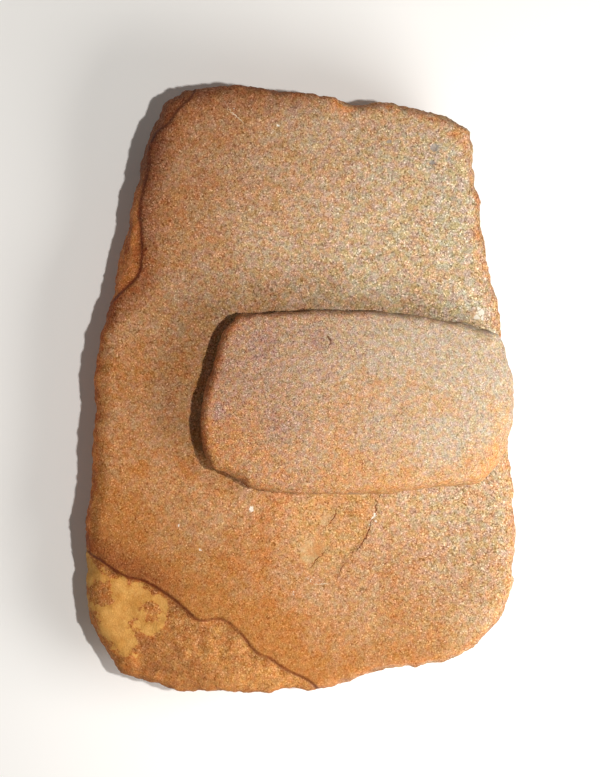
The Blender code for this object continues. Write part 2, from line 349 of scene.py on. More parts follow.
bed_outline = bed_curve(BED_OUTLINE, closed=True)
corner_break = bed_curve(CORNER_BREAK)
edge_break = bed_curve(EDGE_BREAK)
ochre_patch = bed_curve(OCHRE_PATCH, closed=True)
spall_scars = [
    (bed_curve(edge), bed_point(*middle), reach, depth)
    for edge, middle, reach, depth in SPALL_SCARS
]
quartz_spots = [(bed_point(u, v), radius) for u, v, radius in QUARTZ_SPOTS]
grey_pits = [(bed_point(u, v), radius) for u, v, radius in GREY_PITS]
ochre_blotches = [(bed_point(u, v), radius) for u, v, radius in OCHRE_BLOTCHES]
flake_patches = [bed_curve(shares, closed=True) for shares in FLAKE_PATCHES]
scratches = [bed_curve(shares) for shares in SCRATCHES]


def scar_share(scar, x, y):
    """1 in the deepest part of a flake scar, along its inner edge, and 0 outside it."""
    edge, middle, reach, _ = scar
    aside, _ = edge.nearest(x, y)
    return ease(aside / SPALL_WALL) * (1 - ease(math.dist((x, y), middle.xy) / reach))


def in_spots(spots, x, y):
    """How far inside the nearest spot the point is, and less than 0 outside them all."""
    return max(radius - math.dist((x, y), middle.xy) for middle, radius in spots)


def bed_breaks(x, y):
    """(share of the surface that is broken, its depth under the worn face)."""
    past_corner, _ = corner_break.nearest(x, y)
    past_edge, _ = edge_break.nearest(x, y)
    start, end = CORNER_STEP_ENDS
    thinner = ease((x - bed_low.x - start) / (end - start))
    step = CORNER_STEP * (1 - (1 - CORNER_STEP_RIGHT) * thinner)
    depth = break_depth(past_corner, step, CORNER_WALL, CORNER_FALL)
    depth += break_depth(past_edge, EDGE_STEP, EDGE_WALL, EDGE_FALL)
    depth += sum(scar[3] * scar_share(scar, x, y) for scar in spall_scars)
    return max(ease(past_corner / CORNER_WALL), ease(past_edge / EDGE_WALL)), depth


def shape_bed(place):
    """Where a point of the flat slab comes on the worn and broken stone."""
    x, y, z = place
    inwards, outward = bed_outline.nearest(x, y)
    inwards = max(inwards, 0.0)
    up = z / BED_THICKNESS
    flat = Vector((x, y, 0))
    broken, depth = bed_breaks(x, y)
    top = worn_face(x, y) - depth
    scars = RIM_SCAR_LEAST + RIM_SCAR_MORE * scoop(flat, RIM_SCAR_SIZE)
    top -= scars * edge_round(inwards, *by_side(outward, BED_TOP_EDGE))
    relief = FACE_RELIEF * (rough(flat, FACE_GRAIN, FACE_LAYERS) - 1)
    relief -= PIT_DEPTH * pits(flat, PIT_SIZE)
    relief -= GREY_PIT_DEPTH * ease(in_spots(grey_pits, x, y) / PIT_WALL)
    relief += broken * BROKEN_RELIEF * rough(flat, BROKEN_GRAIN, SIDE_LAYERS)
    swell = 1 + BED_SIDE_VARIATION * noise.noise((flat - bed_middle) / BED_SIDE_WAVE_LENGTH)
    bottom = swell * edge_round(inwards, *by_side(outward, BED_UNDER_EDGE))
    height = bottom + (top - bottom) * up
    shaped = Vector((x, y, height))
    side = 1 - ease(inwards / BED_SIDE_REACH)
    push = side * SIDE_RELIEF * rough(shaped, SIDE_GRAIN, SIDE_LAYERS)
    for chip, size, reach in BED_CHIPS:
        push -= chip * (scoop(shaped, size) - CHIP_MEAN) * (1 - ease(inwards / reach))
    shaped += outward * push
    lean = 1 - BED_SIDE_LEAN * swell * (1 - ease(up))
    sheared = bed_middle + (shaped - bed_middle) * lean
    return Vector((sheared.x, sheared.y, height + relief * up))


bed = worked_stone(
    "quern_bed",
    gridded_slab("bed_slab", bed_outline, BED_THICKNESS, BED_SPACING),
    shape_bed,
    BED_SHARE_KEPT,
    bed_box,
)


def bed_worn(vertex):
    """1 on the ground face and 0 on the sides, the underside and the breaks."""
    broken, _ = bed_breaks(vertex.co.x, vertex.co.y)
    steep, flat = WORN_SLOPE
    return ease((vertex.normal.z - steep) / (flat - steep)) * (1 - broken)


def bed_shade_and_patina(vertex):
    """1 on the left and far rim, darkened with painted shade and patina, and 0 where use has kept the
    stone clean.
    """
    inwards, outward = bed_outline.nearest(vertex.co.x, vertex.co.y)
    return (1 - ease(inwards / SHADE_PATINA_REACH)) * ease(outward.dot(SHADE_PATINA_SIDE))


def bed_rim(vertex):
    """1 at the edge of the stone, where grinding hasn't reached."""
    inwards, outward = bed_outline.nearest(vertex.co.x, vertex.co.y)
    reach = RIM_REACH + RIM_CORNER_REACH * max(0.0, outward.x * outward.y)
    return 1 - ease(inwards / reach)


def bed_ridge(vertex):
    """Distance past the inner edge of whichever break is nearer."""
    x, y, _ = vertex.co
    return min(corner_break.gap(x, y), edge_break.gap(x, y), key=abs)


def bed_crack(vertex):
    """Distance past the inner edge of the nearest flake scar, which shows as a crack."""
    x, y, _ = vertex.co
    return min((scar[0].gap(x, y) for scar in spall_scars), key=abs)


def bed_spall(vertex):
    """1 where a flake scar is deepest and 0 outside them all."""
    x, y, _ = vertex.co
    return max(scar_share(scar, x, y) for scar in spall_scars)


def bed_flake(vertex):
    """Distance inside the nearer of the smooth flake scars."""
    x, y, _ = vertex.co
    return max(patch.nearest(x, y)[0] for patch in flake_patches)


def bed_scratch(vertex):
    """Distance to the nearest of the pale scratches."""
    x, y, _ = vertex.co
    return min((scratch.gap(x, y) for scratch in scratches), key=abs)


def bed_ochre(vertex):
    """Distance inside the smooth ochre seam, less where rust has grown over it."""
    x, y, _ = vertex.co
    inwards, _ = ochre_patch.nearest(x, y)
    return min(inwards, -in_spots(ochre_blotches, x, y))


def bed_quartz(vertex):
    return in_spots(quartz_spots, vertex.co.x, vertex.co.y)


def bed_grey(vertex):
    return in_spots(grey_pits, vertex.co.x, vertex.co.y)


for name, value_at in (
    ("worn", bed_worn), ("shade_and_patina", bed_shade_and_patina), ("rim", bed_rim), ("ridge", bed_ridge),
    ("crack", bed_crack), ("spall", bed_spall), ("flake", bed_flake), ("scratch", bed_scratch),
    ("ochre", bed_ochre), ("quartz", bed_quartz), ("grey", bed_grey),
):
    paint(bed.data, name, value_at)


def shader_node(tree, kind, inputs=None, **settings):
    """A shader node, its settings, and its inputs as plain values or other nodes' outputs."""
    made = tree.nodes.new(kind)
    for key, value in settings.items():
        setattr(made, key, value)
    for key, value in (inputs or {}).items():
        if isinstance(value, bpy.types.NodeSocket):
            tree.links.new(value, made.inputs[key])
        else:
            made.inputs[key].default_value = value
    return made


def mixed(tree, share, first, second, blend="MIX"):
    """A colour between two others, at this share of the second."""
    mix = shader_node(tree, "ShaderNodeMix", data_type="RGBA", blend_type=blend)
    for socket, value in zip((mix.inputs[0], mix.inputs[6], mix.inputs[7]), (share, first, second)):
        if isinstance(value, bpy.types.NodeSocket):
            tree.links.new(value, socket)
        else:
            socket.default_value = value if socket.type == "VALUE" else (*value, 1)
    return mix.outputs[2]


def multiplied(tree, share, colour, tint):
    """A colour times a tint, at this share of it."""
    return mixed(tree, share, colour, tint, blend="MULTIPLY")


def combined(tree, operation, first, *others):
    """The first value with each of the others added, multiplied or the like in turn."""
    for other in others:
        inputs = {0: first, 1: other}
        first = shader_node(tree, "ShaderNodeMath", inputs, operation=operation).outputs[0]
    return first


def plus(tree, first, *others):
    return combined(tree, "ADD", first, *others)


def times(tree, first, *others):
    return combined(tree, "MULTIPLY", first, *others)


def ramp(tree, value, low, high, to_low=0.0, to_high=1.0):
    """The value's place between low and high, eased at both ends."""
    inputs = {0: value, 1: low, 2: high, 3: to_low, 4: to_high}
    return shader_node(
        tree, "ShaderNodeMapRange", inputs, interpolation_type="SMOOTHSTEP"
    ).outputs[0]


def near_line(tree, aside, full, gone):
    """1 where the distance to a painted line is small, and 0 further off on either side."""
    away = shader_node(tree, "ShaderNodeMath", {0: aside}, operation="ABSOLUTE").outputs[0]
    return ramp(tree, away, full, gone, 1.0, 0.0)


def painted(tree, name):
    """The value that was painted on the mesh under this name."""
    return shader_node(tree, "ShaderNodeAttribute", attribute_name=name).outputs["Fac"]


def noise_at(tree, place, scale, detail=3.0, roughness=0.55):
    inputs = {"Vector": place, "Scale": scale, "Detail": detail, "Roughness": roughness}
    return shader_node(tree, "ShaderNodeTexNoise", inputs).outputs["Fac"]


# Pale quartz grains, which also stand in for painted glints, and dark iron grains: the shares of the
# lot where they start and are full, and how much lighter they look. All these steps in lightness are
# even to the eye, so they are taken in GAMMA.
GAMMA = 2.4
GRAIN_SPREAD = 0.06
ODD_GRAINS_AND_GLINTS = ((0.87, 0.93, 0.14), (0.84, 0.94, -0.14))
BETWEEN_GRAINS = (0.45, 0.80, 0.0, -0.12)
GRAIN_BEND_SCALE = 0.9
GRAIN_BEND = (0.8, 0.8, 0.8)
# Soft stains: each pair is a tint and its opposite.
STAIN_TINTS = (
    ((1.05, 0.99, 0.83), (0.95, 1.01, 1.13)),
    ((1.05, 0.96, 1.00), (0.95, 1.04, 0.97)),
    ((0.94, 0.93, 0.92), (1.06, 1.07, 1.08)),
)
STAIN_SCALE = 0.20
STAIN_RANGE = (0.35, 0.65)

grains = bpy.data.node_groups.new("sandstone_grains", "ShaderNodeTree")
for name, way, kind in (
    ("Colour", "INPUT", "Color"), ("Grain Size", "INPUT", "Float"), ("Strength", "INPUT", "Float"),
    ("Colour", "OUTPUT", "Color"), ("Height", "OUTPUT", "Float"),
):
    grains.interface.new_socket(name, in_out=way, socket_type="NodeSocket" + kind)
grains_in = grains.nodes.new("NodeGroupInput").outputs
grains_out = grains.nodes.new("NodeGroupOutput").inputs
where = shader_node(grains, "ShaderNodeTexCoord").outputs["Object"]
per_metre = combined(grains, "DIVIDE", 1.0, grains_in["Grain Size"])
in_grains = shader_node(
    grains, "ShaderNodeVectorMath", {0: where, "Scale": per_metre}, operation="SCALE"
).outputs[0]
bend = shader_node(
    grains, "ShaderNodeTexNoise", {"Vector": in_grains, "Scale": GRAIN_BEND_SCALE, "Detail": 1.0}
).outputs["Color"]
bent = shader_node(
    grains, "ShaderNodeVectorMath", {0: bend, 1: GRAIN_BEND, 2: in_grains}, operation="MULTIPLY_ADD"
).outputs[0]
cells = shader_node(grains, "ShaderNodeTexVoronoi", {"Vector": bent, "Scale": 1.0}).outputs
lots = shader_node(grains, "ShaderNodeSeparateColor", {0: cells["Color"]}).outputs
stains = shader_node(
    grains, "ShaderNodeTexNoise", {"Vector": in_grains, "Scale": STAIN_SCALE, "Detail": 1.0}
).outputs["Color"]
stain_lots = shader_node(grains, "ShaderNodeSeparateColor", {0: stains}).outputs
lighter = ramp(grains, lots[2], 0.0, 1.0, -GRAIN_SPREAD, GRAIN_SPREAD)
# The pale grains are quartz and painted glints; the dark ones are iron.
for lot, (start, full, change) in zip(lots, ODD_GRAINS_AND_GLINTS):
    lighter = plus(grains, lighter, ramp(grains, lot, start, full, 0.0, change))
lighter = plus(grains, lighter, ramp(grains, cells["Distance"], *BETWEEN_GRAINS))
lighter = times(grains, lighter, grains_in["Strength"])
tinted = grains_in["Colour"]
for lot, (tint, opposite) in zip(stain_lots, STAIN_TINTS):
    stain = mixed(grains, ramp(grains, lot, *STAIN_RANGE), tint, opposite)
    tinted = multiplied(grains, grains_in["Strength"], tinted, stain)
seen = shader_node(grains, "ShaderNodeGamma", {"Color": tinted, "Gamma": 1 / GAMMA}).outputs[0]
seen = shader_node(grains, "ShaderNodeVectorMath", {0: seen, 1: lighter}, operation="ADD").outputs[0]
seen = shader_node(
    grains, "ShaderNodeVectorMath", {0: seen, 1: (0.0, 0.0, 0.0)}, operation="MAXIMUM"
).outputs[0]
grained = shader_node(grains, "ShaderNodeGamma", {"Color": seen, "Gamma": GAMMA}).outputs[0]
grains.links.new(grained, grains_out["Colour"])
height = combined(grains, "SUBTRACT", 1.0, cells["Distance"])
grains.links.new(plus(grains, height, stain_lots[2]), grains_out["Height"])

# The bed stone's skin. Ranges hold two places in metres, or two values of a noise or a mask, and then
# what they are turned into, which is 0 and 1 where nothing follows. A wear is a range of the fine
# noise, and breaks a mark up.
NOISE_RANGE = (0.3, 0.7)
BROAD_PATCHES = (16.0, 5.0, 0.6)
FINE_PATCHES = (90.0, 4.0, 0.6)
RAGGED_PATCHES = (260.0, 4.0)
RAGGED_RANGE = (0.25, 0.75, -0.002, 0.002)
RIGHTNESS_RANGE = (-0.16, 0.16)
FARNESS_RANGE = (-0.16, 0.16)

bed_skin = bpy.data.materials.new("red_sandstone")
bed_skin.use_nodes = True
tree = bed_skin.node_tree
where = shader_node(tree, "ShaderNodeTexCoord").outputs["Object"]
across, along, up = shader_node(tree, "ShaderNodeSeparateXYZ", {0: where}).outputs
broad = noise_at(tree, where, *BROAD_PATCHES)
fine = noise_at(tree, where, *FINE_PATCHES)
ragged = ramp(tree, noise_at(tree, where, *RAGGED_PATCHES), *RAGGED_RANGE)
mottle = ramp(tree, fine, *NOISE_RANGE)
rightness = ramp(tree, across, *RIGHTNESS_RANGE)
ends = times(tree, along, along)

# The ground face is orange-brown towards the near left and greyer towards the far right, partly its own
# colour and partly painted light, as the grey end is much lighter. Painted light makes it lighter in
# its middle, at the near end and towards the far right, and painted shade darker at the far and near
# left.
# Its rim is redder, and lighter on the left as painted light. The flake scars in it are pale.
ORANGE_FACE = (0.408, 0.161, 0.0455)
GREY_FACE = (0.490, 0.445, 0.345)
GREYNESS_AND_LIGHT_ACROSS = 2.05
GREYNESS_ALONG = 0.95
GREYNESS_AT_ENDS = -5.2
BROAD_GREYNESS = (0.27, 0.47)
FINE_GREYNESS = (-0.06, 0.06)
MIDDLE_RANGE = (0.08, 0.22, 1.0, 0.0)
MIDDLE_PAINTED_LIGHT = (1.20, 1.20, 1.19)
LEFT_RANGE = (0.0, -0.08)
LEFT_PAINTED_SHADE = (((0.02, 0.16), (0.84, 0.80, 0.78)), ((-0.02, -0.10), (0.91, 0.93, 0.89)))
NEAR_END_RANGE = (-0.12, -0.18)
NEAR_END_PAINTED_LIGHT = (1.06, 1.10, 1.08)
RIGHT_RANGE = (0.0, 0.10)
RIGHT_PAINTED_LIGHT = ((0.96, 0.94, 0.885), (1.08, 1.13, 1.14))
RIM_WEAR = (0.35, 0.6, 0.15, 1.0)
RIM_COLOURS_LIT_LEFT = ((0.690, 0.255, 0.071), (0.510, 0.218, 0.078))
SPALL_RANGE = (0.0, 0.5)
SPALL_COLOUR = (0.500, 0.275, 0.120)
FLAKE_RAGGEDNESS = 0.6
FLAKE_EDGE_WIDTH = 0.001
FLAKE_COLOURS = ((0.490, 0.225, 0.082), (0.520, 0.350, 0.180))

greyness_and_light = plus(
    tree,
    times(tree, across, GREYNESS_AND_LIGHT_ACROSS),
    times(tree, along, GREYNESS_ALONG),
    times(tree, ends, GREYNESS_AT_ENDS),
    ramp(tree, broad, *NOISE_RANGE, *BROAD_GREYNESS),
    ramp(tree, fine, *NOISE_RANGE, *FINE_GREYNESS),
)
# Partly painted light: greyness, and with it lightness, rises towards the right.
colour = mixed(tree, greyness_and_light, ORANGE_FACE, GREY_FACE)
from_middle = shader_node(tree, "ShaderNodeVectorMath", {0: where}, operation="LENGTH").outputs["Value"]
# Painted light and shade: lighter in the middle, darker at the far and near left, lighter at the near
# end and towards the right.
colour = multiplied(tree, ramp(tree, from_middle, *MIDDLE_RANGE), colour, MIDDLE_PAINTED_LIGHT)
to_left = ramp(tree, across, *LEFT_RANGE)
for place, tint in LEFT_PAINTED_SHADE:
    colour = multiplied(tree, times(tree, to_left, ramp(tree, along, *place)), colour, tint)
colour = multiplied(tree, ramp(tree, along, *NEAR_END_RANGE), colour, NEAR_END_PAINTED_LIGHT)
right_painted_light = mixed(tree, ramp(tree, along, *FARNESS_RANGE), *RIGHT_PAINTED_LIGHT)
colour = multiplied(tree, ramp(tree, across, *RIGHT_RANGE), colour, right_painted_light)
# The rim is redder stone; its left colour is made lighter as painted light against the shade of its
# rounding.
rim = times(tree, painted(tree, "rim"), ramp(tree, fine, *RIM_WEAR))
colour = mixed(tree, rim, colour, mixed(tree, rightness, *RIM_COLOURS_LIT_LEFT))
spalled = ramp(tree, painted(tree, "spall"), *SPALL_RANGE)
colour = mixed(tree, spalled, colour, SPALL_COLOUR)
flake = plus(tree, painted(tree, "flake"), times(tree, ragged, FLAKE_RAGGEDNESS))
flaked = ramp(tree, flake, 0.0, FLAKE_EDGE_WIDTH)
colour = mixed(tree, flaked, colour, mixed(tree, mottle, *FLAKE_COLOURS))

# The sides and breaks are rougher and redder, with rusty patches on the paler right side.
DARK_SIDE = ((0.365, 0.100, 0.024), (0.690, 0.250, 0.076))
LIGHT_SIDE = ((0.380, 0.205, 0.100), (0.560, 0.360, 0.215))
RUST_PATCHES = (0.50, 0.64, 0.0, 0.75)
RUST = (0.430, 0.185, 0.080)
CORNER_EDGE = (0.001, 0.004)
CORNER_ALONG = (0.02, -0.04)
SCAR_MOTTLE = 0.35
SCAR_PALER_TO_RIGHT = (-0.11, -0.05, 0.0, 0.22)
SCAR_COLOURS = ((0.300, 0.113, 0.034), (0.800, 0.385, 0.127))
SCAR_RIM_WEAR = (0.35, 0.6, 0.0, 0.8)
SCAR_RIM = (0.560, 0.210, 0.060)

light_side = mixed(tree, mottle, *LIGHT_SIDE)
light_side = mixed(tree, ramp(tree, broad, *RUST_PATCHES), light_side, RUST)
rough_colour = mixed(tree, rightness, mixed(tree, mottle, *DARK_SIDE), light_side)
ridge = painted(tree, "ridge")
corner = times(tree, ramp(tree, ridge, *CORNER_EDGE), ramp(tree, along, *CORNER_ALONG))
paleness = plus(tree, times(tree, mottle, SCAR_MOTTLE), ramp(tree, across, *SCAR_PALER_TO_RIGHT))
scar_colour = mixed(tree, paleness, *SCAR_COLOURS)
scar_rim = times(tree, painted(tree, "rim"), ramp(tree, fine, *SCAR_RIM_WEAR))
scar_colour = mixed(tree, scar_rim, scar_colour, SCAR_RIM)
rough_colour = mixed(tree, corner, rough_colour, scar_colour)
colour = mixed(tree, painted(tree, "worn"), rough_colour, colour)

# Painted shade with dark patina darkens the far left rim, and painted shade lies just above the breaks
# at the left. A smooth seam of ochre shows in the broken corner, with a rusty stain round it.
SHADE_PATINA_ALONG = (0.13, 0.165, 0.08, 0.95)
SHADE_PATINA_ACROSS = (0.04, -0.02, 0.15, 1.0)
SHADE_PATINA_BREAKUP = (0.3, 0.6, 0.6, 1.0)
PAINTED_SHADE_AND_PATINA = (0.180, 0.062, 0.028)
RIDGE_SHADE_INNER = (-0.026, -0.001)
RIDGE_SHADE_OUTER = (0.004, 0.001)
RIDGE_SHADE_ACROSS = (-0.07, -0.12)
RIDGE_SHADE = (0.66, 0.52, 0.48)
SEAM_WANDER = (-0.0042, 0.0034)
SEAM_STAIN_RANGE = (-0.007, 0.0, 0.0, 0.55)
SEAM_STAIN = (0.500, 0.190, 0.045)
SEAM_EDGE_RANGE = (-0.0005, 0.0012)
OFF_FLOOR_RANGE = (0.001, 0.006)
OCHRE_COLOURS = ((0.470, 0.215, 0.046), (0.610, 0.315, 0.085))

# Painted shade with dark patina on the far left rim.
far_left_shade_and_patina = times(
    tree,
    ramp(tree, along, *SHADE_PATINA_ALONG),
    ramp(tree, across, *SHADE_PATINA_ACROSS),
    ramp(tree, fine, *SHADE_PATINA_BREAKUP),
    painted(tree, "shade_and_patina"),
)
colour = mixed(tree, far_left_shade_and_patina, colour, PAINTED_SHADE_AND_PATINA)
# Painted shade just above the breaks at the left.
over_ridge = times(
    tree,
    ramp(tree, ridge, *RIDGE_SHADE_INNER),
    ramp(tree, across, *RIDGE_SHADE_ACROSS),
    ramp(tree, ridge, *RIDGE_SHADE_OUTER),
)
colour = multiplied(tree, over_ridge, colour, RIDGE_SHADE)
seam = plus(tree, painted(tree, "ochre"), ragged, ramp(tree, fine, *NOISE_RANGE, *SEAM_WANDER))
colour = mixed(tree, ramp(tree, seam, *SEAM_STAIN_RANGE), colour, SEAM_STAIN)
ochre = times(tree, ramp(tree, seam, *SEAM_EDGE_RANGE), ramp(tree, up, *OFF_FLOOR_RANGE))
colour = mixed(tree, ochre, colour, mixed(tree, mottle, *OCHRE_COLOURS))

# The grains are plainest towards the right and away from both ends, and faint on the ochre seam and
# in the flakes.
BED_GRAIN_SIZE = 0.00098
STRENGTH_IN_MIDDLE = 0.98
STRENGTH_ACROSS = 1.6
STRENGTH_ALONG = 0.75
STRENGTH_AT_ENDS = -7.0
STRENGTH_IN_CORNER = 0.25
FLAKE_SMOOTHNESS = 0.7
SMOOTH_STRENGTH = 0.3

strength = plus(
    tree,
    times(tree, across, STRENGTH_ACROSS),
    STRENGTH_IN_MIDDLE,
    times(tree, along, STRENGTH_ALONG),
    times(tree, ends, STRENGTH_AT_ENDS),
    times(tree, corner, STRENGTH_IN_CORNER),
)
smooth = combined(tree, "MAXIMUM", ochre, times(tree, flaked, FLAKE_SMOOTHNESS))
strength = times(tree, strength, ramp(tree, smooth, 0.0, 1.0, 1.0, SMOOTH_STRENGTH))
grain = shader_node(tree, "ShaderNodeGroup", node_tree=grains)
grain.inputs["Grain Size"].default_value = BED_GRAIN_SIZE
tree.links.new(strength, grain.inputs["Strength"])
tree.links.new(colour, grain.inputs["Colour"])
colour = grain.outputs["Colour"]

# Painted shade as dark lines in the cracks and on the walls under the edges of the breaks, pale
# scratches, and white and grey inclusions. They are marks of the upper face, and don't run down the
# sides.
LINE_WANDER = 0.45
UPPER_RANGE = (0.046, 0.056)
LINE_RANGE = (0.0001, 0.0007)
CRACK_SHADE_BREAKUP = (0.35, 0.55, 0.2, 1.0)
CRACK_SHADE_TINT = (0.50, 0.30, 0.18)
CRACK_DEPTH = 2.0
WALL_MIDDLE = 0.0008
WALL_RANGE = (0.0003, 0.0018)
WALL_SHADE_BREAKUP = (0.30, 0.55, 0.30, 1.0)
WALL_FAINTER_TO_FAR = (0.0, 0.12, 0.9, 0.75)
WALL_SHADE_TINT = (0.48, 0.30, 0.20)
SCRATCH_WEAR = (0.40, 0.55, 0.1, 0.9)
SCRATCH_COLOUR = (0.72, 0.58, 0.42)
QUARTZ_RAGGEDNESS = 0.6
QUARTZ_EDGE_RANGE = (-0.0002, 0.0006, 0.0, 0.9)
QUARTZ = (0.78, 0.72, 0.62)
GREY_RAGGEDNESS = 0.7
GREY_EDGE_RANGE = (0.0, 0.0010, 0.0, 0.7)
GREY = (0.22, 0.21, 0.20)

wander = times(tree, ragged, LINE_WANDER)
upper = ramp(tree, up, *UPPER_RANGE)
# Painted shade: a dark line in each crack.
in_crack = near_line(tree, plus(tree, painted(tree, "crack"), wander), *LINE_RANGE)
in_crack = times(tree, in_crack, ramp(tree, fine, *CRACK_SHADE_BREAKUP), upper)
colour = multiplied(tree, in_crack, colour, CRACK_SHADE_TINT)
# Painted shade: a dark line on the step wall under each break's edge.
wall_shade = near_line(tree, combined(tree, "SUBTRACT", ridge, WALL_MIDDLE), *WALL_RANGE)
wall_shade = times(
    tree, wall_shade, ramp(tree, fine, *WALL_SHADE_BREAKUP), ramp(tree, along, *WALL_FAINTER_TO_FAR), upper
)
colour = multiplied(tree, wall_shade, colour, WALL_SHADE_TINT)
scratched = near_line(tree, plus(tree, painted(tree, "scratch"), wander), *LINE_RANGE)
scratched = times(tree, scratched, ramp(tree, fine, *SCRATCH_WEAR), upper)
colour = mixed(tree, scratched, colour, SCRATCH_COLOUR)
for name, raggedness, edge, spot_colour in (
    ("quartz", QUARTZ_RAGGEDNESS, QUARTZ_EDGE_RANGE, QUARTZ),
    ("grey", GREY_RAGGEDNESS, GREY_EDGE_RANGE, GREY),
):
    inside = plus(tree, painted(tree, name), times(tree, ragged, raggedness))
    colour = mixed(tree, times(tree, ramp(tree, inside, *edge), upper), colour, spot_colour)

BED_ROUGHNESS = 0.85
BED_SPECULAR = 0.25
BED_BUMP = {"Strength": 0.6, "Distance": 0.0004}

height = combined(tree, "SUBTRACT", grain.outputs["Height"], times(tree, in_crack, CRACK_DEPTH))
bump = shader_node(tree, "ShaderNodeBump", {"Height": height, **BED_BUMP})
skin = tree.nodes["Principled BSDF"]
skin.inputs["Roughness"].default_value = BED_ROUGHNESS
skin.inputs["Specular IOR Level"].default_value = BED_SPECULAR
tree.links.new(colour, skin.inputs["Base Color"])
tree.links.new(bump.outputs["Normal"], skin.inputs["Normal"])
bed.data.materials.append(bed_skin)
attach(bed, "root")
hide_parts("bed_stone")

# The handstone: a smaller block of a finer, pinker sandstone, rubbed to and fro over the bed stone
# with two hands. It is rounded by use, and lies across the hollow with its right end over the edge.
HANDSTONE_SPACING = 0.0013
HANDSTONE_SHARE_KEPT = 0.95
HANDSTONE_THICKNESS = 0.043
HANDSTONE_TAPER = 0.013
HANDSTONE_DOME = 0.004
# How far the edges turn away, as (width, depth) on the far, right, near and left sides.
HANDSTONE_TOP_EDGE = ((0.004, 0.006), (0.026, 0.012), (0.009, 0.010), (0.006, 0.008))
HANDSTONE_UNDER_EDGE = ((0.014, 0.011), (0.022, 0.011), (0.010, 0.010), (0.011, 0.013))
# Chips along the rim: depth, size, and reach inwards from the outline.
HANDSTONE_CHIPS = ((0.0014, 0.022, 0.012), (0.0014, 0.010, 0.008), (0.0008, 0.005, 0.005))
HANDSTONE_RELIEF = 0.0002
HANDSTONE_GRAIN = 0.010
HANDSTONE_SIDE_RELIEF = 0.0010
HANDSTONE_RIM = 0.011
HANDSTONE_SHADED_RIM_SIDE = Vector((-0.9, 0.4, 0.0))
HANDSTONE_PIT = ((-0.188, 0.712), (-0.173, 0.672), (-0.181, 0.632))
HANDSTONE_PIT_DEPTH = 0.0008
# Mauve stains: middle, radius in metres.
HANDSTONE_STAINS = (
    (-0.596, 0.626, 0.010), (-0.891, -0.110, 0.006), (-0.519, -0.242, 0.007), (-0.263, 0.680, 0.006),
)
# The clearance at which touching meshes stand, so that neither cuts the other.
REST_GAP = 0.0003
HANDSTONE_OUTLINE = (
    (-0.738, 0.956), (-0.550, 0.975), (-0.347, 0.993), (-0.050, 1.000), (0.120, 0.995),
    (0.300, 0.958), (0.529, 0.901), (0.690, 0.867), (0.779, 0.805), (0.850, 0.775),
    (0.914, 0.701), (0.956, 0.479), (0.990, 0.289), (1.000, 0.099), (0.993, -0.130),
    (0.963, -0.416), (0.927, -0.579), (0.876, -0.720), (0.782, -0.861), (0.660, -0.908),
    (0.500, -0.925), (0.320, -0.961), (0.120, -0.997), (-0.250, -1.000), (-0.500, -0.980),
    (-0.680, -0.932), (-0.746, -0.850), (-0.823, -0.782), (-0.921, -0.688), (-0.975, -0.554),
    (-0.998, -0.330), (-0.996, -0.080), (-0.962, 0.180), (-0.920, 0.397), (-0.890, 0.614),
    (-0.858, 0.766), (-0.800, 0.880),
)

hand_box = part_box("handstone")
hand_low, hand_high = hand_box
hand_middle = Vector(((hand_low.x + hand_high.x) / 2, (hand_low.y + hand_high.y) / 2, 0))
hand_half_length = (hand_high.x - hand_low.x) / 2
hand_half_width = (hand_high.y - hand_low.y) / 2
hand_outline = PlanCurve(
    HANDSTONE_OUTLINE, hand_middle, hand_half_length, hand_half_width, closed=True
)
hand_pit = PlanCurve(HANDSTONE_PIT, hand_middle, hand_half_length, hand_half_width, closed=False)
hand_stains = [
    (hand_middle + Vector((u * hand_half_length, v * hand_half_width, 0)), radius)
    for u, v, radius in HANDSTONE_STAINS
]
hand_middle_height = worn_face(hand_middle.x, hand_middle.y) + REST_GAP + HANDSTONE_THICKNESS


def shape_handstone(place):
    """Where a point of the flat slab comes on the rounded stone."""
    x, y, z = place
    inwards, outward = hand_outline.nearest(x, y)
    inwards = max(inwards, 0.0)
    up = z / HANDSTONE_THICKNESS
    u = (x - hand_middle.x) / hand_half_length
    v = (y - hand_middle.y) / hand_half_width
    flat = Vector((x, y, 0))
    top = hand_middle_height - HANDSTONE_TAPER / 2 * u - HANDSTONE_DOME * (u * u + v * v)
    top -= edge_round(inwards, *by_side(outward, HANDSTONE_TOP_EDGE))
    bottom = worn_face(x, y) + REST_GAP
    bottom += edge_round(inwards, *by_side(outward, HANDSTONE_UNDER_EDGE))
    shaped = Vector((x, y, bottom + (top - bottom) * up))
    relief = HANDSTONE_RELIEF * rough(flat, HANDSTONE_GRAIN, FACE_LAYERS)
    relief -= HANDSTONE_PIT_DEPTH * (1 - ease(abs(hand_pit.gap(x, y)) / PIT_WALL))
    side = 1 - ease(inwards / HANDSTONE_RIM)
    push = side * HANDSTONE_SIDE_RELIEF * rough(shaped, HANDSTONE_GRAIN, SIDE_LAYERS)
    for chip, size, reach in HANDSTONE_CHIPS:
        push -= chip * (scoop(shaped, size) - CHIP_MEAN) * (1 - ease(inwards / reach))
    return shaped + outward * push + Vector((0, 0, relief * up))


handstone = worked_stone(
    "quern_handstone",
    gridded_slab("handstone_slab", hand_outline, HANDSTONE_THICKNESS, HANDSTONE_SPACING),
    shape_handstone,
    HANDSTONE_SHARE_KEPT,
    hand_box,
)


def hand_rim_and_shade(vertex):
    """1 at the far and left edges, where the rubbed skin gives way to redder stone, darker there as
    painted shade.
    """
    inwards, outward = hand_outline.nearest(vertex.co.x, vertex.co.y)
    return (1 - ease(inwards / HANDSTONE_RIM)) * ease(outward.dot(HANDSTONE_SHADED_RIM_SIDE))


def hand_pit_gap(vertex):
    """Distance to the small arc-shaped pit."""
    return hand_pit.gap(vertex.co.x, vertex.co.y)


def hand_stain(vertex):
    return in_spots(hand_stains, vertex.co.x, vertex.co.y)


